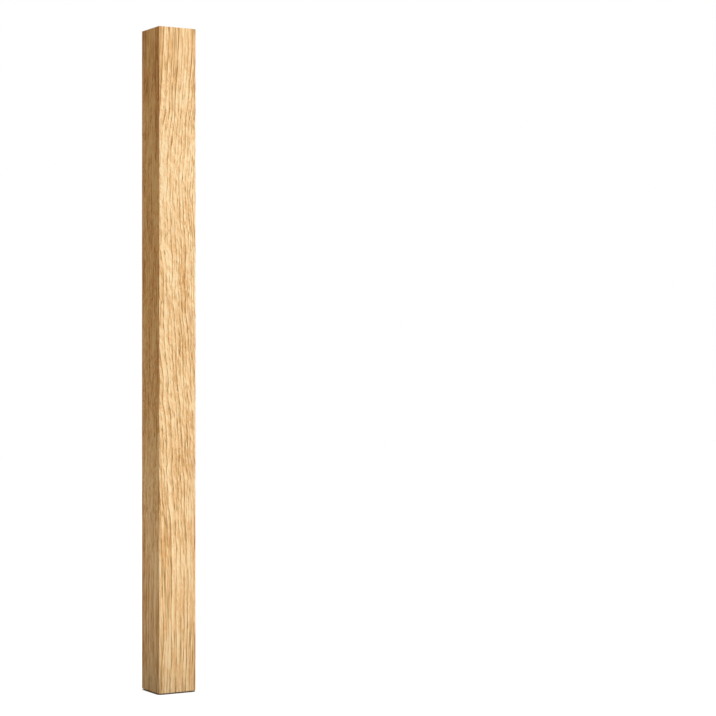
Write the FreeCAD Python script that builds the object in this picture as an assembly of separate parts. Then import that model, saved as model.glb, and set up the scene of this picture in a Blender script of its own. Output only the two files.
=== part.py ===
import FreeCAD
import Part
import os

# Square stair baluster: one straight length of planed solid oak.
# The planer runs the square section and its four rounded arrises in one pass,
# the bar is cross-cut to length, and the sharp rim round each end is eased.
# Millimetres, +Z up along the baluster, origin at the centre of the bottom end.
# The four faces look along X and Y.

# Driving dimensions
LENGTH = 900.0
SIDE = 55.0
ARRIS_RADIUS = 1.0
END_EASE_RADIUS = 0.5

# An edge that rises less than this lies in an end plane
LEVEL_TOLERANCE = 1e-3

NODE = "baluster"
PARTS_FOLDER = "parts"
CORNERS = 4
ORIGIN = FreeCAD.Vector(0, 0, 0)
UP = FreeCAD.Vector(0, 0, 1)


def planed_section():
    """Return the section as a face: a square with a quarter round at each corner.

    One flat side and the round at its right-hand end are drawn once and turned
    about the centre, a quarter turn for each corner.
    """
    half_side = SIDE / 2
    half_flat = half_side - ARRIS_RADIUS
    flat_side = Part.makeLine(
        FreeCAD.Vector(-half_flat, -half_side, 0),
        FreeCAD.Vector(half_flat, -half_side, 0),
    )
    arris = Part.makeCircle(ARRIS_RADIUS, FreeCAD.Vector(half_flat, -half_flat, 0), UP, 270, 360)
    outline = []
    for corner in range(CORNERS):
        turn = corner * 360 / CORNERS
        outline.append(flat_side.rotated(ORIGIN, UP, turn))
        outline.append(arris.rotated(ORIGIN, UP, turn))
    return Part.Face(Part.Wire(outline))


def cross_cut_bar(section):
    """Return the section carried up to the baluster's length, with sawn ends."""
    return section.extrude(UP * LENGTH)


def eased_ends(bar):
    """Return the bar with the rim of both ends rounded over, round its corners too."""
    rims = [edge for edge in bar.Edges if edge.BoundBox.ZLength < LEVEL_TOLERANCE]
    return bar.makeFillet(END_EASE_RADIUS, rims).Solids[0]


os.makedirs(PARTS_FOLDER, exist_ok=True)
baluster = eased_ends(cross_cut_bar(planed_section()))
baluster.exportStep(os.path.join(PARTS_FOLDER, NODE + ".step"))
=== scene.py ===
"""Looks of a square oak stair baluster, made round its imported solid.

Metres, +Z up along the baluster, origin at the centre of its bottom end. The bar is one
closed surface whose vertices carry the oak's grain, so every face shows the same tree.
Sizes inside the timber, such as the width of a ring, are in millimetres.
"""

import logging
from dataclasses import dataclass, field
from enum import Enum
from typing import NamedTuple

import bpy
import numpy as np
from mathutils import Matrix, Vector
from numpy.typing import NDArray


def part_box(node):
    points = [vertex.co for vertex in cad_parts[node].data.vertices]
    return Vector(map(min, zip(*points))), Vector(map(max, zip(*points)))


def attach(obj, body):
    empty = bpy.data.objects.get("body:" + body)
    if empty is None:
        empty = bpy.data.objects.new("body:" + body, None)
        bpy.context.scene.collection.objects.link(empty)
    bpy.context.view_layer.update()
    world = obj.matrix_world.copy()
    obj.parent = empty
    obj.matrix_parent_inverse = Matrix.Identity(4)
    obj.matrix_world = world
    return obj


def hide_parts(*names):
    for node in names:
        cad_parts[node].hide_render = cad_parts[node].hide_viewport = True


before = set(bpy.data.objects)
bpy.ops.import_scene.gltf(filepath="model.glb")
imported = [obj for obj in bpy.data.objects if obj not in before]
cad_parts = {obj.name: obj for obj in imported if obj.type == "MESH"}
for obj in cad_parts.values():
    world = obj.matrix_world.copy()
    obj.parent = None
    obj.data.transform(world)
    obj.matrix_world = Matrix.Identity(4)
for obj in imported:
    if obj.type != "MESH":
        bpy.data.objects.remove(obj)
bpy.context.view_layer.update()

Array = NDArray[np.float64]
Indices = NDArray[np.int64]
Flags = NDArray[np.bool_]
Socket = bpy.types.NodeSocket
Colour = tuple[float, float, float, float]
Triple = tuple[float, float, float]
Span = tuple[float, float]

LOG = logging.getLogger("baluster")
NODE = "baluster"
BODY = "root"
PIECE = "oak_bar"
BAKE_MAP = "OFBake"
GRAIN = "grain"
FIGURE = "figure"
MM = 0.001
QUARTERS = 4
RIGHT_ANGLE = np.pi / 2
WHITE: Colour = (1.0, 1.0, 1.0, 1.0)

# A noise swings to both sides of this value
NOISE_MIDDLE = 0.5

# What an eased mask goes from and to
RISE: Span = (0.0, 1.0)
FALL: Span = (1.0, 0.0)

# Steps from a face's first corner to each of its corners, across the surface and up it
CORNERS_ACROSS = np.array((0, 1, 1, 0))
CORNERS_UP = np.array((0, 0, 1, 1))


class Cut(Enum):
    """The two ways the timber is cut, each with its own finish; the value is the mesh's slot."""

    PLANED = 0
    SAWN = 1


def srgb(red: int, green: int, blue: int) -> Colour:
    """Turn a screen colour into the linear one that shaders take.

    The curve of the screen standard: a straight toe, then a power of 2.4.

    Args:
        red, green, blue: screen values from 0 to 255.

    Returns:
        Linear red, green and blue, with an alpha of 1.
    """
    screen = np.array((red, green, blue)) / 255.0
    toe = screen / 12.92
    curve = ((screen + 0.055) / 1.055) ** 2.4
    return (*np.where(screen <= 0.04045, toe, curve).tolist(), 1.0)


def smooth(value: Array) -> Array:
    """Ease a value from 0 to 1 with level ends: 3v^2 - 2v^3, held outside."""
    held = np.clip(value, 0.0, 1.0)
    return held * held * (3.0 - 2.0 * held)


def bell(value: Array) -> Array:
    """Give the bell curve exp(-v^2)."""
    return np.exp(-value * value)


class Sheet:
    """One node tree, with short calls to place nodes and join them."""

    def __init__(self, tree: bpy.types.NodeTree) -> None:
        """Take the tree to draw in."""
        self.tree = tree

    def place(self, kind: str, **settings: object) -> bpy.types.Node:
        """Place a node.

        Args:
            kind: the node's type, without its ShaderNode beginning.
            settings: properties of the node to set.

        Returns:
            The new node.
        """
        node = self.tree.nodes.new("ShaderNode" + kind)
        for key, value in settings.items():
            setattr(node, key, value)
        return node

    def feed(self, socket: Socket, value: object) -> None:
        """Join an output to an input, or set the input's own value.

        Args:
            socket: the input.
            value: the output to join to it, or a plain value.
        """
        if isinstance(value, bpy.types.NodeSocket):
            self.tree.links.new(value, socket)
        else:
            socket.default_value = value

    def fill(self, node: bpy.types.Node, *values: object) -> Socket:
        """Feed a node's inputs in their order.

        Args:
            node: the node.
            values: an output or a plain value for each input, from the first on.

        Returns:
            The node's first output.
        """
        for socket, value in zip(node.inputs, values):
            self.feed(socket, value)
        return node.outputs[0]

    def sums(self, operation: str, *values: object) -> Socket:
        """Place a Math node with these inputs and return its output."""
        return self.fill(self.place("Math", operation=operation), *values)

    def product(self, first: object, *others: object) -> Socket:
        """Multiply values.

        Args:
            first, others: outputs or plain values.

        Returns:
            Their product.
        """
        result = first
        for other in others:
            result = self.sums("MULTIPLY", result, other)
        return result

    def between(self, share: Socket, ends: Span) -> Socket:
        """Go straight from the first end to the second as a share goes from 0 to 1."""
        return self.sums("MULTIPLY_ADD", share, ends[1] - ends[0], ends[0])

    def sway(self, noise: Socket, amount: object) -> Socket:
        """Turn a noise into a shift of either sign, times an amount."""
        return self.sums("MULTIPLY", self.sums("SUBTRACT", noise, NOISE_MIDDLE), amount)

    def ease(self, value: object, span: tuple[object, object], ends: Span = RISE) -> Socket:
        """Ease from the first end to the second as a value crosses a span, level beyond it."""
        return self.fill(self.place("MapRange", interpolation_type="SMOOTHSTEP"), value, *span, *ends)

    def per_pitch(self, vector: Socket, pitch: object) -> Socket:
        """Divide a vector by a pitch along each axis, so that one cell spans one pitch."""
        return self.fill(self.place("VectorMath", operation="DIVIDE"), vector, pitch)

    def split(self, vector: Socket) -> tuple[Socket, ...]:
        """Part a vector into its three values.

        Args:
            vector: the vector.

        Returns:
            Its values along the three axes.
        """
        node = self.place("SeparateXYZ")
        self.fill(node, vector)
        return tuple(node.outputs)

    def turned(self, vector: Socket, degrees: float) -> Socket:
        """Turn a vector about its first axis.

        Args:
            vector: the vector.
            degrees: the angle.

        Returns:
            The turned vector.
        """
        node = self.place("VectorRotate", rotation_type="X_AXIS")
        self.feed(node.inputs["Vector"], vector)
        self.feed(node.inputs["Angle"], np.radians(degrees))
        return node.outputs[0]

    def noise(self, cells: Socket, detail: float) -> Socket:
        """Place a soft noise.

        Args:
            cells: place, in cells of the noise.
            detail: how many finer layers it has.

        Returns:
            Its value.
        """
        node = self.place("TexNoise")
        self.feed(node.inputs["Vector"], cells)
        self.feed(node.inputs["Scale"], 1.0)
        self.feed(node.inputs["Detail"], detail)
        return node.outputs[0]

    def spots(self, cells: Socket, reach: Socket, core: float) -> Socket:
        """Mark a round spot in each cell.

        Args:
            cells: place, in cells of the pattern.
            reach: how far a spot reaches from its cell's point.
            core: share of the reach within which the mark is full.

        Returns:
            A mask: 1 in the core, eased to 0 at the reach.
        """
        node = self.place("TexVoronoi")
        self.feed(node.inputs["Vector"], cells)
        self.feed(node.inputs["Scale"], 1.0)
        return self.ease(node.outputs["Distance"], (self.product(reach, core), reach), FALL)

    def carried(self, name: str) -> Socket:
        """Read a vector that the mesh's vertices carry."""
        return self.place("Attribute", attribute_name=name).outputs["Vector"]

    def blend(self, share: object, first: object, second: object) -> Socket:
        """Mix two colours.

        Args:
            share: how much of the second there is, from 0 to 1.
            first, second: the colours.

        Returns:
            The mixed colour.
        """
        node = self.place("Mix", data_type="RGBA")
        shown = [socket for socket in node.inputs if socket.enabled]
        for socket, given in zip(shown, (share, first, second)):
            self.feed(socket, given)
        return next(socket for socket in node.outputs if socket.enabled)

    def ramp(self, value: Socket, stops: tuple[tuple[float, Colour], ...]) -> Socket:
        """Place a colour scale with straight runs between its stops.

        Args:
            value: place on the scale.
            stops: each stop's place and colour.

        Returns:
            The colour.
        """
        node = self.place("ValToRGB")
        self.feed(node.inputs[0], value)
        scale = node.color_ramp.elements
        while len(scale) < len(stops):
            scale.new(1.0)
        for stop, (position, colour) in zip(scale, stops):
            stop.position = position
            stop.color = colour
        return node.outputs["Color"]

    def use(self, group: bpy.types.NodeTree, **given: object) -> bpy.types.Node:
        """Place a node group.

        Args:
            group: the group.
            given: an output or a plain value for each of its inputs, by name.

        Returns:
            The group's node.
        """
        node = self.place("Group", node_tree=group)
        for name, value in given.items():
            self.feed(node.inputs[name], value)
        return node

    def emboss(self, shader: bpy.types.Node, height: Socket, depth: float) -> None:
        """Press a relief into a shader's normal.

        Args:
            shader: the shader.
            height: height of the relief, where 1 stands for the depth.
            depth: in metres.
        """
        bump = self.place("Bump")
        bump.inputs["Strength"].default_value = 1.0
        bump.inputs["Distance"].default_value = depth
        self.feed(bump.inputs["Height"], height)
        self.feed(shader.inputs["Normal"], bump.outputs["Normal"])


def start_finish(name: str) -> tuple[bpy.types.Material, Sheet, bpy.types.Node]:
    """Make an empty finish.

    Args:
        name: the material's name.

    Returns:
        The material, its sheet and its shader.
    """
    made = bpy.data.materials.new(name)
    made.use_nodes = True
    return made, Sheet(made.node_tree), made.node_tree.nodes["Principled BSDF"]


@dataclass(frozen=True)
class Cloud:
    """A soft noise through the timber.

    The pitch is the size of a cell out from the pith, round the tree and along the stem. The
    slant turns the cells about the line out from the pith, in degrees.
    """

    pitch: Triple
    detail: float = 2.0
    slant: float = 0.0

    def draw(self, sheet: Sheet, grain: Socket) -> Socket:
        """Draw the noise.

        Args:
            sheet: where to draw it.
            grain: the grain vector.

        Returns:
            Its value.
        """
        cells = sheet.turned(grain, self.slant) if self.slant else grain
        return sheet.noise(sheet.per_pitch(cells, self.pitch), self.detail)


@dataclass(frozen=True)
class GroupPlan:
    """Name and sockets of a node group."""

    name: str
    takes: dict[str, str]
    gives: dict[str, str]

    def start(self) -> tuple[Sheet, bpy.types.Node, bpy.types.Node]:
        """Make the group.

        Returns:
            Its sheet, the node that holds its inputs and the node that takes its outputs.
        """
        tree = bpy.data.node_groups.new(self.name, "ShaderNodeTree")
        for side, sockets in (("INPUT", self.takes), ("OUTPUT", self.gives)):
            for name, kind in sockets.items():
                tree.interface.new_socket(name=name, in_out=side, socket_type="NodeSocket" + kind)
        return Sheet(tree), tree.nodes.new("NodeGroupInput"), tree.nodes.new("NodeGroupOutput")


@dataclass
class OakGroups:
    """What the oak's finishes draw on: growth rings, vessels and rays, as node groups.

    All of them read the grain vector, in millimetres: how far out from the pith, how far
    round the tree and how far along the stem. A core is the share of a spot that is full.
    """

    ring_width: float = 1.8
    slow_drift: Cloud = Cloud((22.0, 12.0, 60.0), detail=1.0)
    slow_amount: float = 1.7
    fine_drift: Cloud = Cloud((4.0, 3.0, 26.0), detail=1.0)
    fine_amount: float = 0.15
    pace_per_ring: float = 0.3
    pace_amount: float = 1.7
    vessel_core: float = 0.55
    ray_pitch: Triple = (22.0, 1.5, 6.0)
    ray_core: float = 0.4
    rings: bpy.types.NodeTree = field(init=False)
    vessels: bpy.types.NodeTree = field(init=False)
    rays: bpy.types.NodeTree = field(init=False)

    def __post_init__(self) -> None:
        """Draw the three groups."""
        self.rings = self.growth_rings()
        self.vessels = self.vessel_lines()
        self.rays = self.ray_flecks()

    def growth_rings(self) -> bpy.types.NodeTree:
        """Rings: distance from the pith, a little uneven, over the ring width.

        The whole part names the year and the rest says how far through the year, with the
        porous early wood at 0. A slow noise along the years makes some wide and some narrow.

        Returns:
            Group from Grain to Phase and Year.
        """
        plan = GroupPlan("growth rings", {"Grain": "Vector"}, {"Phase": "Float", "Year": "Float"})
        sheet, given, result = plan.start()
        grain = given.outputs["Grain"]
        out_from_pith, _, _ = sheet.split(grain)
        slow = sheet.sway(self.slow_drift.draw(sheet, grain), self.slow_amount)
        fine = sheet.sway(self.fine_drift.draw(sheet, grain), self.fine_amount)
        radius = sheet.sums("ADD", out_from_pith, sheet.sums("ADD", slow, fine))
        count = sheet.sums("DIVIDE", radius, self.ring_width)
        pace = sheet.place("TexNoise", noise_dimensions="1D")
        sheet.feed(pace.inputs["W"], sheet.product(count, self.pace_per_ring))
        sheet.feed(pace.inputs["Scale"], 1.0)
        sheet.feed(pace.inputs["Detail"], 0.0)
        years = sheet.sums("ADD", count, sheet.sway(pace.outputs[0], self.pace_amount))
        sheet.feed(result.inputs["Phase"], sheet.sums("FRACT", years))
        sheet.feed(result.inputs["Year"], sheet.sums("FLOOR", years))
        return sheet.tree

    def vessel_lines(self) -> bpy.types.NodeTree:
        """Vessels: cells long along the stem, open within a reach of their points.

        Returns:
            Group from Grain, Pitch (a cell's size each way) and Reach to Mask.
        """
        takes = {"Grain": "Vector", "Pitch": "Vector", "Reach": "Float"}
        sheet, given, result = GroupPlan("vessels", takes, {"Mask": "Float"}).start()
        cells = sheet.per_pitch(given.outputs["Grain"], given.outputs["Pitch"])
        mask = sheet.spots(cells, given.outputs["Reach"], self.vessel_core)
        sheet.feed(result.inputs["Mask"], mask)
        return sheet.tree

    def ray_flecks(self) -> bpy.types.NodeTree:
        """Rays: thin sheets that run out from the pith, short spindles on a face across them.

        Returns:
            Group from Grain and Reach to Mask.
        """
        takes = {"Grain": "Vector", "Reach": "Float"}
        sheet, given, result = GroupPlan("rays", takes, {"Mask": "Float"}).start()
        cells = sheet.per_pitch(given.outputs["Grain"], self.ray_pitch)
        mask = sheet.spots(cells, given.outputs["Reach"], self.ray_core)
        sheet.feed(result.inputs["Mask"], mask)
        return sheet.tree


class YearMarks(NamedTuple):
    """Masks of what a year leaves on a planed face."""

    line: Socket
    pores: Socket
    flank: Socket
    late: Socket


@dataclass(frozen=True)
class EarlyWood:
    """The porous wood of spring: a dark line that comes and goes along each ring, pale beside it.

    Spans of the year run from 0 at the start of one ring to 1 at the start of the next. The
    presence by cut is for a face cut across the rings and for one cut along them.
    """

    line_closes: Span = (0.05, 0.2)
    line_opens: Span = (0.92, 1.0)
    flank_starts: Span = (0.14, 0.26)
    flank_ends: Span = (0.32, 0.58)
    late_starts: Span = (0.45, 0.95)
    presence: Cloud = Cloud((1.5, 3.0, 26.0))
    presence_span: Span = (0.32, 0.52)
    presence_by_cut: Span = (0.4, 1.0)
    left_when_absent: float = 0.3
    strength_by_year: Span = (0.45, 1.45)
    vessel_pitch: Triple = (0.34, 0.62, 20.0)
    vessel_reach: Span = (0.14, 0.56)

    def marks(self, sheet: Sheet, groups: OakGroups, grain: Socket, flat_sawn: Socket) -> YearMarks:
        """Draw the marks of the year.

        Args:
            sheet: where to draw them.
            groups: the shared oak node groups.
            grain: the grain vector.
            flat_sawn: how far the face is cut along the rings.

        Returns:
            The masks of the dark line, the open pores, the pale flank and the late wood.
        """
        rings = sheet.use(groups.rings, Grain=grain)
        phase = rings.outputs["Phase"]
        closing = sheet.ease(phase, self.line_closes, FALL)
        opening = sheet.sums("MAXIMUM", closing, sheet.ease(phase, self.line_opens))
        present = sheet.ease(self.presence.draw(sheet, grain), self.presence_span)
        present = sheet.product(present, sheet.between(flat_sawn, self.presence_by_cut))
        shown = sheet.between(present, (self.left_when_absent, 1.0))
        reach = sheet.between(opening, self.vessel_reach)
        vessels = sheet.use(groups.vessels, Grain=grain, Pitch=self.vessel_pitch, Reach=reach)
        whim = sheet.place("TexWhiteNoise", noise_dimensions="1D")
        sheet.feed(whim.inputs["W"], rings.outputs["Year"])
        strength = sheet.between(whim.outputs["Value"], self.strength_by_year)
        flank_end = sheet.ease(phase, self.flank_ends, FALL)
        return YearMarks(
            line=sheet.product(opening, present, strength),
            pores=sheet.product(vessels.outputs["Mask"], shown),
            flank=sheet.product(sheet.ease(phase, self.flank_starts), flank_end, shown),
            late=sheet.product(sheet.ease(phase, self.late_starts), flat_sawn),
        )


@dataclass(frozen=True)
class Veins:
    """Thin lines between the rings, where a long noise crosses its middle value."""

    course: Cloud = Cloud((2.8, 2.5, 60.0), detail=1.0)
    breadth: Span = (0.01, 0.055)
    presence: Cloud = Cloud((5.0, 5.0, 30.0))
    presence_span: Span = (0.38, 0.54)

    def mask(self, sheet: Sheet, grain: Socket) -> Socket:
        """Draw the lines.

        Args:
            sheet: where to draw them.
            grain: the grain vector.

        Returns:
            Their mask.
        """
        off_course = sheet.sums("SUBTRACT", self.course.draw(sheet, grain), NOISE_MIDDLE)
        lines = sheet.ease(sheet.sums("ABSOLUTE", off_course), self.breadth, FALL)
        return sheet.product(lines, sheet.ease(self.presence.draw(sheet, grain), self.presence_span))


@dataclass(frozen=True)
class PlanedOak:
    """Finish of the four long faces: planed, sanded, open-grained oak with a satin oil.

    The tones run from the palest wood to the open pores, each with its place on the scale. A
    depth says how far a noise or a mark moves the wood along that scale. Where there are two,
    the first is for a face cut across the rings and the second for one cut along them.
    """

    tones: tuple[tuple[float, Colour], ...] = (
        (0.0, srgb(255, 237, 196)),
        (0.3, srgb(253, 220, 171)),
        (0.5, srgb(242, 204, 150)),
        (0.7, srgb(220, 177, 119)),
        (0.88, srgb(190, 146, 88)),
        (1.0, srgb(164, 119, 64)),
    )
    warm: Colour = srgb(228, 174, 110)
    stain_and_shade: Colour = srgb(190, 128, 70)
    early_wood: EarlyWood = EarlyWood()
    veins: Veins = Veins()
    broad: Cloud = Cloud((15.0, 19.0, 150.0))
    patches: Cloud = Cloud((5.0, 5.0, 26.0), slant=-16.0)
    dashes: Cloud = Cloud((1.7, 1.6, 18.0), slant=-5.0)
    bands: Cloud = Cloud((2.8, 3.4, 140.0))
    streaks: Cloud = Cloud((0.6, 0.6, 34.0))
    fibres: Cloud = Cloud((0.34, 0.46, 4.0), detail=1.0)
    specks: Cloud = Cloud((0.6, 0.7, 3.6), detail=1.0)
    mean_tone: float = 0.358
    broad_depth: float = 1.2
    patch_depth: Span = (0.3, 0.1)
    dash_depth: float = 1.35
    band_depth: Span = (3.0, 0.5)
    streak_depth: Span = (2.0, 0.8)
    fibre_depth: float = 0.6
    pale_depth: float = -0.2
    flank_depth: float = -0.36
    late_depth: float = 0.06
    vein_depth: float = 0.46
    line_depth: float = 0.7
    pore_depth: float = 0.18
    warm_span: Span = (0.42, 0.64)
    warm_share: float = 0.1
    speck_span: Span = (0.4, 0.62)
    fleck_share: Span = (0.14, 0.64)
    roughness: float = 0.58
    pore_roughness: float = 0.2
    streak_roughness: float = 0.15
    shine: float = 0.2
    groove_depth: float = 0.00015
    fibre_height: float = 0.35

    def material(self, groups: OakGroups) -> bpy.types.Material:
        """Make the finish.

        Args:
            groups: the shared oak node groups.

        Returns:
            The material, which reads the grain and figure that the vertices carry.
        """
        made, sheet, shader = start_finish("planed oak")
        grain = sheet.carried(GRAIN)
        pale, stained_and_shaded, flat_sawn = sheet.split(sheet.carried(FIGURE))
        year = self.early_wood.marks(sheet, groups, grain, flat_sawn)
        patches = self.patches.draw(sheet, grain)
        streaks = self.streaks.draw(sheet, grain)
        fibres = self.fibres.draw(sheet, grain)

        # Tone of the wood, from pale to deep: noises to either side, then the marks
        swings = (
            (self.broad.draw(sheet, grain), self.broad_depth),
            (patches, sheet.between(flat_sawn, self.patch_depth)),
            (self.dashes.draw(sheet, grain), self.dash_depth),
            (self.bands.draw(sheet, grain), sheet.between(flat_sawn, self.band_depth)),
            (streaks, sheet.between(flat_sawn, self.streak_depth)),
            (fibres, self.fibre_depth),
        )
        marks = (
            # Pale also carries a painted shade that darkens the head
            (pale, self.pale_depth),
            (year.flank, self.flank_depth),
            (year.late, self.late_depth),
            (self.veins.mask(sheet, grain), self.vein_depth),
            (year.line, self.line_depth),
            (year.pores, self.pore_depth),
        )
        tone: object = self.mean_tone
        for noise, depth in swings:
            tone = sheet.sums("ADD", tone, sheet.sway(noise, depth))
        for mask, depth in marks:
            tone = sheet.sums("MULTIPLY_ADD", mask, depth, tone)

        # Warm flecks, thickest in patches that slant across the grain, then the stains and a patch of
        # painted shade
        warmth = sheet.ease(patches, self.warm_span)
        specks = sheet.ease(self.specks.draw(sheet, grain), self.speck_span)
        flecks = sheet.product(specks, sheet.between(warmth, self.fleck_share))
        warmed = sheet.sums("MULTIPLY_ADD", warmth, self.warm_share, flecks)
        wood = sheet.blend(warmed, sheet.ramp(tone, self.tones), self.warm)
        sheet.feed(shader.inputs["Base Color"], sheet.blend(stained_and_shaded, wood, self.stain_and_shade))

        rough = sheet.sums("MULTIPLY_ADD", year.pores, self.pore_roughness, self.roughness)
        rough = sheet.sums("ADD", rough, sheet.sway(streaks, self.streak_roughness))
        sheet.feed(shader.inputs["Roughness"], rough)
        shader.inputs["Specular IOR Level"].default_value = self.shine
        height = sheet.sums("SUBTRACT", sheet.product(fibres, self.fibre_height), year.pores)
        sheet.emboss(shader, height, self.groove_depth)
        return made


@dataclass(frozen=True)
class SawnEnd:
    """Finish of the two ends: cross-cut oak, darker and duller, with rings and open pores.

    A share says how much of a mark's colour covers the ground. The saw's marks lie in the
    bar's own metres, the rest in the grain's millimetres.
    """

    late: Colour = srgb(214, 172, 118)
    early: Colour = srgb(158, 110, 62)
    pore: Colour = srgb(104, 70, 38)
    ray: Colour = srgb(232, 196, 146)
    early_ends: Span = (0.12, 0.5)
    early_share: float = 0.75
    seasons: Cloud = Cloud((2.6, 60.0, 60.0), detail=1.0)
    season_span: Span = (0.4, 0.62)
    season_share: float = 0.6
    mottle: Cloud = Cloud((6.0, 9.0, 40.0), detail=3.0)
    mottle_span: Span = (0.4, 0.75)
    mottle_share: float = 0.3
    pore_pitch: Triple = (0.3, 0.32, 20.0)
    pore_reach: Span = (0.2, 0.54)
    pore_share: float = 0.6
    ray_reach: float = 0.26
    ray_share: float = 0.4
    kerf: Cloud = Cloud((0.2, 0.0009, 0.2), detail=1.0)
    kerf_span: Span = (0.5, 0.8)
    kerf_share: float = 0.2
    roughness: float = 0.8
    pore_roughness: float = 0.15
    shine: float = 0.15
    pore_depth: float = 0.0002
    kerf_height: float = 0.3

    def material(self, groups: OakGroups) -> bpy.types.Material:
        """Make the finish.

        Args:
            groups: the shared oak node groups.

        Returns:
            The material, which reads the grain that the vertices carry.
        """
        made, sheet, shader = start_finish("sawn oak end")
        grain = sheet.carried(GRAIN)
        phase = sheet.use(groups.rings, Grain=grain).outputs["Phase"]
        early = sheet.ease(phase, self.early_ends, FALL)
        reach = sheet.between(early, self.pore_reach)
        vessels = sheet.use(groups.vessels, Grain=grain, Pitch=self.pore_pitch, Reach=reach)
        pores = vessels.outputs["Mask"]
        rays = sheet.use(groups.rays, Grain=grain, Reach=self.ray_reach).outputs["Mask"]
        seasons = self.seasons.draw(sheet, grain)
        mottle = self.mottle.draw(sheet, grain)
        kerf = self.kerf.draw(sheet, sheet.place("TexCoord").outputs["Object"])
        layers = (
            (sheet.product(early, self.early_share), self.early),
            (sheet.ease(seasons, self.season_span, (0.0, self.season_share)), self.early),
            (sheet.ease(mottle, self.mottle_span, (0.0, self.mottle_share)), self.early),
            (sheet.product(pores, self.pore_share), self.pore),
            (sheet.product(rays, self.ray_share), self.ray),
            (sheet.ease(kerf, self.kerf_span, (0.0, self.kerf_share)), self.pore),
        )
        ground: object = self.late
        for share, colour in layers:
            ground = sheet.blend(share, ground, colour)
        sheet.feed(shader.inputs["Base Color"], ground)
        rough = sheet.sums("MULTIPLY_ADD", pores, self.pore_roughness, self.roughness)
        sheet.feed(shader.inputs["Roughness"], rough)
        shader.inputs["Specular IOR Level"].default_value = self.shine
        height = sheet.sums("SUBTRACT", sheet.product(kerf, self.kerf_height), pores)
        sheet.emboss(shader, height, self.pore_depth)
        return made


@dataclass(frozen=True)
class StainAndShade:
    """A small warm patch, in millimetres in the bar's frame: mostly a stain where the grain parts, in
    one case painted shade.
    """

    centre: Triple
    reach: Triple
    strength: float

    def mask(self, points: Array) -> Array:
        """Strength at each point: a bell over the distance, measured in reaches."""
        away = (points - np.array(self.centre)) / np.array(self.reach)
        return self.strength * np.exp(-np.sum(away * away, axis=1))


@dataclass(frozen=True)
class Lean:
    """A stretch of height over which the fibres drift along X by a shift, in millimetres."""

    low: float
    high: float
    shift: float

    def at(self, height: Array) -> Array:
        """Drift at each height, eased in and out."""
        return self.shift * smooth((height - self.low) / (self.high - self.low))


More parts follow.
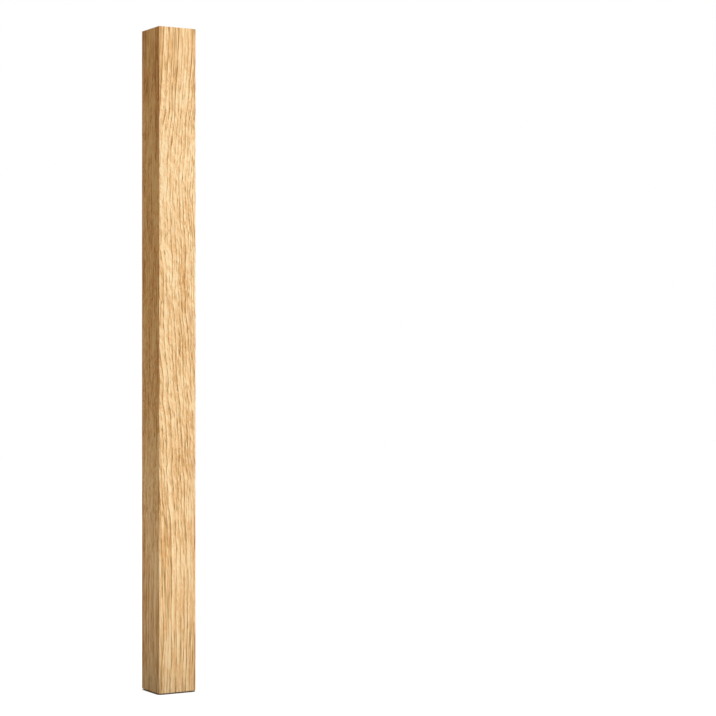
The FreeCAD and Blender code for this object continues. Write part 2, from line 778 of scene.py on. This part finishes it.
@dataclass(frozen=True)
class TreeGrain:
    """Where the bar lay in the tree, and how the fibres wander through it, in millimetres.

    The pith is a line outside the bar, behind its front face and to the left, so the front is
    cut nearly along the rings, with wide figure, and the left face across them, with fine lines.
    Ripples have a breadth and a depth in shares of their length, and a share of their height
    that stays where the grain is calm.
    """

    pith: tuple[float, float] = (-119.0, 300.0)
    leans: tuple[Lean, ...] = (
        Lean(0.0, 90.0, 3.0),
        Lean(140.0, 400.0, -10.0),
        Lean(330.0, 560.0, -12.0),
        Lean(560.0, 690.0, -4.5),
        Lean(688.0, 765.0, 5.0),
        Lean(740.0, 890.0, 9.0),
    )
    stem: float = 900.0
    calm_foot: Span = (120.0, 340.0)
    calm_head: Span = (780.0, 870.0)
    pace: Span = (0.55, 1.55)
    longest_wave: float = 150.0
    shortest_wave: float = 22.0
    waves: int = 8
    wave_share: float = 0.004
    wave_breadth: float = 0.3
    wave_depth: float = 0.5
    calm_share: float = 0.3
    seed: int = 7
    pale_height: float = 733.0
    pale_reach: float = 52.0
    # Painted shade: the wood is darkened towards the head
    head_shade_span: Span = (770.0, 880.0)
    head_shade_depth: float = 1.0
    stains_and_shade: tuple[StainAndShade, ...] = (
        StainAndShade((20.0, -27.5, 507.0), (4.0, 9.0, 11.0), 0.55),
        StainAndShade((21.0, -27.5, 571.0), (4.0, 9.0, 12.0), 0.4),
        StainAndShade((23.0, -27.5, 305.0), (3.5, 9.0, 14.0), 0.35),
        # Painted shade, not a stain: a long darker strip by the front face's right-hand arris, over its
        # lower half
        StainAndShade((26.0, -27.5, 230.0), (9.0, 1.2, 200.0), 0.16),
        StainAndShade((-27.5, -23.0, 765.0), (0.6, 6.0, 55.0), 0.45),
        StainAndShade((-27.5, -23.0, 445.0), (0.6, 6.0, 45.0), 0.4),
    )

    def wildness(self, height: Array) -> Array:
        """How unruly the grain is: 1 along the middle of the bar, eased to 0 towards both ends.

        Args:
            height: heights up the bar.

        Returns:
            The wildness at each.
        """
        foot, middle_low = self.calm_foot
        middle_high, head = self.calm_head
        from_foot = smooth((height - foot) / (middle_low - foot))
        return from_foot * smooth((height - head) / (middle_high - head))

    def sideways(self, points: Array) -> Array:
        """How far the fibres have swung along X.

        The leans added up, and ripples of ever shorter wave, each a sine of the point's place
        in lengths of that wave, whose height is a share of that length. The ends are calm.

        Args:
            points: points in the bar's frame.

        Returns:
            The swing at each.
        """
        x, y, z = points.T
        draw = np.random.default_rng(self.seed)
        ripples = np.zeros_like(z)
        for length in np.geomspace(self.longest_wave, self.shortest_wave, self.waves):
            phase, across, deep = draw.uniform(-1.0, 1.0, 3)
            turn = z / length + x * across / (self.wave_breadth * length)
            turn = turn + y * deep / (self.wave_depth * length) + phase
            ripples += self.wave_share * length * np.sin(2.0 * np.pi * turn)
        unruly = self.calm_share + (1.0 - self.calm_share) * self.wildness(z)
        return sum(lean.at(z) for lean in self.leans) + ripples * unruly

    def along(self, height: Array) -> Array:
        """Distance along the fibres: the sum of a pace that is slow where the grain is calm.

        Args:
            height: heights up the bar.

        Returns:
            The distance at each.
        """
        stations = np.linspace(0.0, self.stem, int(self.stem) + 1)
        slow, fast = self.pace
        travelled = np.cumsum(slow + (fast - slow) * self.wildness(stations))
        return np.interp(height, stations, travelled)

    def coordinates(self, points: Array) -> Array:
        """Grain vector: distance out from the pith, arc round the tree, distance along the stem.

        Args:
            points: points in the bar's frame.

        Returns:
            The grain vector of each.
        """
        x, y, z = points.T
        from_pith_x = x - self.sideways(points) - self.pith[0]
        from_pith_y = y - self.pith[1]
        radius = np.hypot(from_pith_x, from_pith_y)
        round_tree = np.arctan2(from_pith_x, -from_pith_y) * abs(self.pith[1])
        return np.column_stack((radius, round_tree, self.along(z)))

    def figure(self, points: Array, normals: Array) -> Array:
        """Figure: how pale the wood is, how stained, and how far it is cut along the rings.

        Pale is a bell over the height, less a painted shade that darkens the head. The stain
        share also holds one long patch of painted shade. The cut is the square of the cosine
        between the face's normal and the line out from the pith.

        Args:
            points: points in the bar's frame.
            normals: the surface's normal at each.

        Returns:
            The three values at each point.
        """
        height = points[:, 2]
        start, end = self.head_shade_span
        pale = bell((height - self.pale_height) / self.pale_reach)
        # Less a painted shade that darkens the head
        pale = pale - self.head_shade_depth * smooth((height - start) / (end - start))
        # Stains, and one patch of painted shade
        stain_and_shade = sum(stain_and_shade.mask(points) for stain_and_shade in self.stains_and_shade)
        radial = points[:, :2] - np.array(self.pith)
        radial = radial / np.linalg.norm(radial, axis=1, keepdims=True)
        flat_sawn = np.sum(radial * normals[:, :2], axis=1) ** 2
        return np.column_stack((pale, stain_and_shade, flat_sawn))


@dataclass
class Baluster:
    """The bar as one closed surface: its section carried from the middle of one end to the other.

    A face that travels less along the path than the level limit, a share of the end's ease,
    belongs to an end.
    """

    side: float
    length: float
    arris_radius: float = 0.001
    end_ease: float = 0.0005
    flat_columns: int = 40
    arris_columns: int = 6
    side_rows: int = 300
    rim_rows: int = 3
    end_rings: int = 14
    map_gap: float = 0.0015
    level_limit: float = 0.01
    grain: TreeGrain = field(default_factory=TreeGrain)

    @property
    def columns(self) -> int:
        """Columns of one side, with one of its arrises."""
        return self.flat_columns + self.arris_columns

    @property
    def around(self) -> int:
        """Columns all round the bar."""
        return self.columns * QUARTERS

    def outline(self) -> tuple[Array, Array]:
        """Section outline and its outward normals.

        One side is a straight run at the front and a quarter circle at its right-hand end. The
        other three are that side turned by quarter turns.

        Returns:
            Points and unit normals, one row to a column of the surface.
        """
        half_side = self.side / 2
        half_flat = half_side - self.arris_radius
        run = np.linspace(-half_flat, half_flat, self.flat_columns + 1)
        flat = np.column_stack((run, np.full_like(run, -half_side)))
        flat_normal = np.tile((0.0, -1.0), (len(run), 1))
        angle = np.linspace(-RIGHT_ANGLE, 0.0, self.arris_columns + 1)[1:-1]
        arris_normal = np.column_stack((np.cos(angle), np.sin(angle)))
        arris = (half_flat, -half_flat) + self.arris_radius * arris_normal
        turn = np.arange(QUARTERS) * RIGHT_ANGLE
        turns = np.array(((np.cos(turn), -np.sin(turn)), (np.sin(turn), np.cos(turn))))
        points, normals = (
            np.einsum("ijk,nj->kni", turns, np.vstack(one_side)).reshape(-1, 2)
            for one_side in ((flat, arris), (flat_normal, arris_normal))
        )
        return points, normals

    def path(self) -> tuple[Array, Array, Array, Array]:
        """Stations from the middle of the bottom end, round its rim, up the side and into the top.

        The rim is a quarter circle, and the top is the bottom turned over.

        Returns:
            For each station the outline's inset, its shrink towards the axis, its height, and
            the lean of its normal, from straight down to straight up.
        """
        ease = self.end_ease
        shrink = np.linspace(0.0, 1.0, self.end_rings + 1)[1:]
        bend = np.linspace(0.0, RIGHT_ANGLE, self.rim_rows + 1)[1:]
        rise = np.linspace(ease, self.length - ease, self.side_rows + 1)[1:-1]
        end = np.ones_like(shrink)
        inset = np.concatenate((end * ease, ease * (1.0 - np.sin(bend))))
        height = np.concatenate((end * 0.0, ease * (1.0 - np.cos(bend))))
        lean = np.concatenate((end * -RIGHT_ANGLE, bend - RIGHT_ANGLE))
        shrink = np.concatenate((shrink, np.ones_like(bend)))
        level = np.zeros_like(rise)
        return (
            np.concatenate((inset, level, inset[::-1])),
            np.concatenate((shrink, level + 1.0, shrink[::-1])),
            np.concatenate((height, rise, self.length - height[::-1])),
            np.concatenate((lean, level, -lean[::-1])),
        )

    def surface(self) -> tuple[Array, Array]:
        """Vertices and normals of the surface.

        A point is the outline, drawn in along its normal by the inset and shrunk towards the
        axis, at its station's height. The middle of each end is one more point.

        Returns:
            Points and unit normals: all stations in turn, then the two middles.
        """
        points, normals = self.outline()
        inset, shrink, height, lean = (values[:, None] for values in self.path())
        ring = (points[None] - inset[..., None] * normals[None]) * shrink[..., None]
        grid = np.dstack((ring, np.broadcast_to(height, ring.shape[:2])))
        tilt = np.dstack((
            np.cos(lean)[..., None] * normals[None],
            np.broadcast_to(np.sin(lean), ring.shape[:2]),
        ))
        middles = np.array(((0.0, 0.0, 0.0), (0.0, 0.0, self.length)))
        middle_normals = np.array(((0.0, 0.0, -1.0), (0.0, 0.0, 1.0)))
        return (
            np.vstack((grid.reshape(-1, 3), middles)),
            np.vstack((tilt.reshape(-1, 3), middle_normals)),
        )

    def faces(self) -> tuple[Indices, Indices]:
        """Corners of the surface's faces.

        Returns:
            Four-cornered faces between stations, and the two fans of triangles at the middles.
        """
        around = self.around
        stations = len(self.path()[0])
        station, column = np.divmod(np.arange(around * (stations - 1)), around)
        corner_column = (column[:, None] + CORNERS_ACROSS) % around
        quads = (station[:, None] + CORNERS_UP) * around + corner_column
        ring = np.arange(around)
        following = (ring + 1) % around
        bottom = stations * around
        last = (stations - 1) * around
        fans = np.vstack((
            np.column_stack((np.full(around, bottom), following, ring)),
            np.column_stack((last + ring, last + following, np.full(around, bottom + 1))),
        ))
        return quads, fans

    def unrolled(self, points: Array, quads: Indices, fans: Indices) -> tuple[Array, Flags]:
        """Lay the surface out flat in one square.

        Each side, with half of the arris at each of its edges, is cut at half its length into
        two strips: along a strip goes the distance along the path, across it the distance round
        the section. The eight strips lie side by side and the two ends beside them.

        Args:
            points: the surface's vertices.
            quads: its four-cornered faces.
            fans: the triangles at the middles of the ends.

        Returns:
            The place in the square of each corner of each face, and which faces are ends.
        """
        inset, _, height, _ = self.path()
        travel = np.concatenate(((0.0,), np.cumsum(np.hypot(np.diff(inset), np.diff(height)))))
        middle = len(travel) // 2
        half_arris = self.arris_columns // 2
        steps = np.full(self.columns, (self.side - 2 * self.arris_radius) / self.flat_columns)
        arris_step = RIGHT_ANGLE * self.arris_radius / self.arris_columns
        steps[:half_arris] = arris_step
        steps[-half_arris:] = arris_step
        breadth = np.concatenate(((0.0,), np.cumsum(steps)))
        pitch = self.side + self.map_gap
        span = max(pitch * (2 * QUARTERS + 1), travel[middle] + self.map_gap)

        station, column = np.divmod(np.arange(len(quads)), self.around)
        strip, across = np.divmod((column + half_arris) % self.around, self.columns)
        upper = station >= middle
        corner_across = breadth[across[:, None] + CORNERS_ACROSS]
        corner_up = travel[station[:, None] + CORNERS_UP]
        sides = np.stack(
            (
                corner_across + (pitch * (strip + QUARTERS * upper))[:, None],
                corner_up - (travel[middle] * upper)[:, None],
            ),
            axis=-1,
        )
        is_end = np.ptp(corner_up, axis=1) < self.end_ease * self.level_limit
        lying = np.concatenate((points[quads].reshape(-1, 3), points[fans].reshape(-1, 3)))
        ends = lying[:, :2] + self.side / 2 + (pitch * 2 * QUARTERS, 0.0)
        ends[:, 1] += pitch * (lying[:, 2] > self.length / 2)
        on_end = np.concatenate((np.repeat(is_end, quads.shape[1]), np.ones(fans.size, dtype=bool)))
        placed = np.concatenate((sides.reshape(-1, 2), np.zeros((fans.size, 2))))
        square = np.where(on_end[:, None], ends, placed) + self.map_gap / 2
        return square / span, np.concatenate((is_end, np.ones(len(fans), dtype=bool)))

    def build(self) -> bpy.types.Object:
        """Put the surface into a mesh with its grain and its map.

        Returns:
            The new piece, linked to the scene.
        """
        points, normals = self.surface()
        quads, fans = self.faces()
        corners = np.concatenate((quads.ravel(), fans.ravel()))
        sizes = np.repeat((quads.shape[1], fans.shape[1]), (len(quads), len(fans)))
        mesh = bpy.data.meshes.new(PIECE)
        mesh.vertices.add(len(points))
        mesh.vertices.foreach_set("co", points.ravel())
        mesh.loops.add(len(corners))
        mesh.loops.foreach_set("vertex_index", corners)
        mesh.polygons.add(len(sizes))
        mesh.polygons.foreach_set("loop_start", np.cumsum(sizes) - sizes)
        mesh.update(calc_edges=True)
        mesh.validate()
        mesh.normals_split_custom_set_from_vertices(normals)
        for name, values in (
            (GRAIN, self.grain.coordinates(points / MM)),
            (FIGURE, self.grain.figure(points / MM, normals)),
        ):
            carried = mesh.attributes.new(name, "FLOAT_VECTOR", "POINT")
            carried.data.foreach_set("vector", values.ravel())
        square, is_end = self.unrolled(points, quads, fans)
        mesh.uv_layers.new(name=BAKE_MAP).data.foreach_set("uv", square.ravel())
        slots = np.where(is_end, Cut.SAWN.value, Cut.PLANED.value)
        mesh.polygons.foreach_set("material_index", slots)
        piece = bpy.data.objects.new(PIECE, mesh)
        bpy.context.scene.collection.objects.link(piece)
        return piece

    def dress(self, piece: bpy.types.Object, finishes: dict[Cut, bpy.types.Material]) -> None:
        """Give the piece its finishes and its place in the frame.

        Args:
            piece: the bar.
            finishes: the material of each way of cutting.
        """
        for cut in Cut:
            piece.data.materials.append(finishes[cut])
        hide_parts(NODE)
        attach(piece, BODY)


@dataclass(frozen=True)
class SoftBox:
    """One studio lamp: a square of even light, aimed at a point."""

    name: str
    place: Triple
    aim: Triple
    size: float
    power: float
    colour: Triple = (1.0, 1.0, 1.0)
    spread: float = 180.0

    def hang(self) -> None:
        """Hang the lamp at its place and turn it to its aim."""
        lamp = bpy.data.lights.new(self.name, "AREA")
        lamp.shape = "SQUARE"
        lamp.size = self.size
        lamp.energy = self.power
        lamp.color = self.colour
        lamp.spread = np.radians(self.spread)
        made = bpy.data.objects.new(self.name, lamp)
        towards = Vector(self.aim) - Vector(self.place)
        turned = towards.to_track_quat("-Z", "Y").to_matrix().to_4x4()
        made.matrix_world = Matrix.Translation(self.place) @ turned
        bpy.context.scene.collection.objects.link(made)


@dataclass(frozen=True)
class Viewpoint:
    """The camera: level, with the baluster's front arris where the photograph has it.

    The turn is the angle between the wide face and the picture. Depth, across and height place
    the lens from the foot of the front arris.
    """

    image_width: int = 716
    sensor_width: float = 36.0
    focal_pixels: float = 2013.8
    turn: float = 30.97
    depth: float = 2.7116
    across: float = -0.2679
    height: float = 0.4526

    def set_up(self, arris: tuple[float, float]) -> None:
        """Stand the camera and make it the scene's own.

        Args:
            arris: where the front arris stands, along X and Y.
        """
        turn = np.radians(self.turn)
        forward = Vector((np.sin(turn), np.cos(turn), 0.0))
        right = Vector((np.cos(turn), -np.sin(turn), 0.0))
        lens = bpy.data.cameras.new("camera")
        lens.sensor_width = self.sensor_width
        lens.lens = self.sensor_width * self.focal_pixels / self.image_width
        camera = bpy.data.objects.new("camera", lens)
        camera.location = Vector((*arris, self.height)) - self.depth * forward - self.across * right
        camera.rotation_euler = forward.to_track_quat("-Z", "Y").to_euler()
        bpy.context.scene.collection.objects.link(camera)
        bpy.context.scene.camera = camera


@dataclass
class Studio:
    """White floor and surround, soft lamps and the plain screen transform.

    The floor drops a little below the baluster's foot. In the gap the floor's glow is dimmed by
    occlusion into a painted contact shadow, over the real shadow there. The foot's painted shade
    and the near floor are spans of distance from the shade's centre, in metres.
    """

    floor_half: float = 6.0
    floor_drop: float = 0.0013
    floor_paint: Colour = srgb(188, 184, 174)
    foot_painted_shadow: Colour = (0.02, 0.02, 0.02, 1.0)
    floor_white: Span = (0.95, 1.0)
    floor_near: Span = (0.3, 1.5)
    shadow_tint: Colour = (0.2, 0.2, 0.2, 1.0)
    # Painted shadow round the foot, seen only by the timber
    shade_centre: Triple = (-0.05, 0.0, 0.0)
    foot_shade: Span = (0.07, 0.21)
    contact_reach: float = 0.01
    contact_range: Span = (0.45, 0.7)
    contact_samples: int = 16
    ambient: Colour = (0.352, 0.222, 0.074, 1.0)
    lamps: tuple[SoftBox, ...] = (
        SoftBox(
            "key",
            place=(1.15, -2.0, 0.92),
            aim=(0.0, 0.0, 0.6),
            size=1.2,
            power=46.4,
            colour=(0.842, 0.922, 1.0),
        ),
        SoftBox("back fill", place=(1.6, 1.7, 1.5), aim=(0.0, 0.0, 0.5), size=1.5, power=29.0),
        SoftBox("overhead", place=(0.0, 0.0, 3.0), aim=(0.0, 0.0, 0.0), size=0.8, power=16.0),
        SoftBox(
            "low fill",
            place=(-1.5, -0.6, 0.3),
            aim=(0.0, 0.0, 0.15),
            size=0.2,
            power=0.061,
            colour=(0.64, 0.8, 1.0),
            spread=20.0,
        ),
    )

    def white_to_camera(self, sheet: Sheet) -> Socket:
        """Tell rays that should find a white studio from those that light the timber.

        Args:
            sheet: where to draw the test.

        Returns:
            1 on rays from the camera, or seen in gloss or glass, and 0 on the rest.
        """
        path = sheet.place("LightPath")
        seen = sheet.sums("MAXIMUM", path.outputs["Is Camera Ray"], path.outputs["Is Glossy Ray"])
        return sheet.sums("MAXIMUM", seen, path.outputs["Is Transmission Ray"])

    def surround(self) -> None:
        """Make the world white to the camera and a dim warm room to the timber."""
        world = bpy.data.worlds.new("studio")
        world.use_nodes = True
        sheet = Sheet(world.node_tree)
        background = world.node_tree.nodes["Background"]
        seen = sheet.blend(self.white_to_camera(sheet), self.ambient, WHITE)
        sheet.feed(background.inputs["Color"], seen)
        bpy.context.scene.world = world

    def paint(self) -> bpy.types.Material:
        """Mix the floor's paint.

        To the camera it is white by its own glow, dimmed by occlusion into a painted contact shadow
        at the baluster's foot, with a share of the lamps' light so that real shadows show too. To the
        timber it is a grey floor with a painted shadow round the foot. From below it is clear.

        Returns:
            The material.
        """
        made = bpy.data.materials.new("white floor")
        made.use_nodes = True
        made.node_tree.nodes.clear()
        sheet = Sheet(made.node_tree)

        # What lights the timber: a grey floor with a painted shadow round the foot, where it turns dark
        away = sheet.place("VectorMath", operation="DISTANCE")
        sheet.feed(away.inputs[0], sheet.place("TexCoord").outputs["Object"])
        sheet.feed(away.inputs[1], self.shade_centre)
        from_foot = away.outputs["Value"]
        clear_of_foot = sheet.ease(from_foot, self.foot_shade)
        grey = sheet.blend(clear_of_foot, self.foot_painted_shadow, self.floor_paint)
        matt = sheet.fill(sheet.place("BsdfDiffuse"), grey)

        # What the camera sees: a white glow that occlusion dims in and round the gap, a painted contact
        # shadow, and the lamps' shadows
        # Painted contact shadow: occlusion near the baluster dims the floor's glow
        nearness = sheet.place("AmbientOcclusion", samples=self.contact_samples)
        nearness.inputs["Distance"].default_value = self.contact_reach
        open_sky = sheet.ease(nearness.outputs["AO"], self.contact_range)
        white = sheet.ease(from_foot, self.floor_near, self.floor_white)
        glow = sheet.place("Emission")
        sheet.feed(glow.inputs["Strength"], sheet.product(open_sky, white))
        shadowed = sheet.fill(sheet.place("BsdfDiffuse"), self.shadow_tint)
        seen = sheet.fill(sheet.place("AddShader"), glow.outputs[0], shadowed)

        from_above = sheet.fill(sheet.place("MixShader"), self.white_to_camera(sheet), matt, seen)
        from_below = sheet.place("BsdfTransparent").outputs[0]
        below = sheet.place("NewGeometry").outputs["Backfacing"]
        sided = sheet.fill(sheet.place("MixShader"), below, from_above, from_below)
        sheet.feed(sheet.place("OutputMaterial").inputs["Surface"], sided)
        return made

    def floor(self) -> None:
        """Lay the floor as one square."""
        half = self.floor_half
        square = ((-half, -half), (half, -half), (half, half), (-half, half))
        mesh = bpy.data.meshes.new("floor")
        mesh.from_pydata([(x, y, -self.floor_drop) for x, y in square], [], [(0, 1, 2, 3)])
        mesh.materials.append(self.paint())
        made = bpy.data.objects.new("floor", mesh)
        bpy.context.scene.collection.objects.link(made)

    def set_up(self) -> None:
        """Make the surround, the floor and the lamps, and choose the plain screen transform."""
        self.surround()
        self.floor()
        for lamp in self.lamps:
            lamp.hang()
        bpy.context.scene.view_settings.view_transform = "Standard"


def main() -> None:
    """Build and dress the baluster, then set up the studio and the camera."""
    logging.basicConfig(level=logging.INFO, format="%(name)s: %(message)s")
    low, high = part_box(NODE)
    groups = OakGroups()
    finishes = {Cut.PLANED: PlanedOak().material(groups), Cut.SAWN: SawnEnd().material(groups)}
    baluster = Baluster(side=high.x - low.x, length=high.z - low.z)
    piece = baluster.build()
    baluster.dress(piece, finishes)
    LOG.info("%s: %d vertices, %d faces", piece.name, len(piece.data.vertices), len(piece.data.polygons))
    Studio().set_up()
    Viewpoint().set_up((low.x, low.y))


if __name__ == "__main__":
    main()
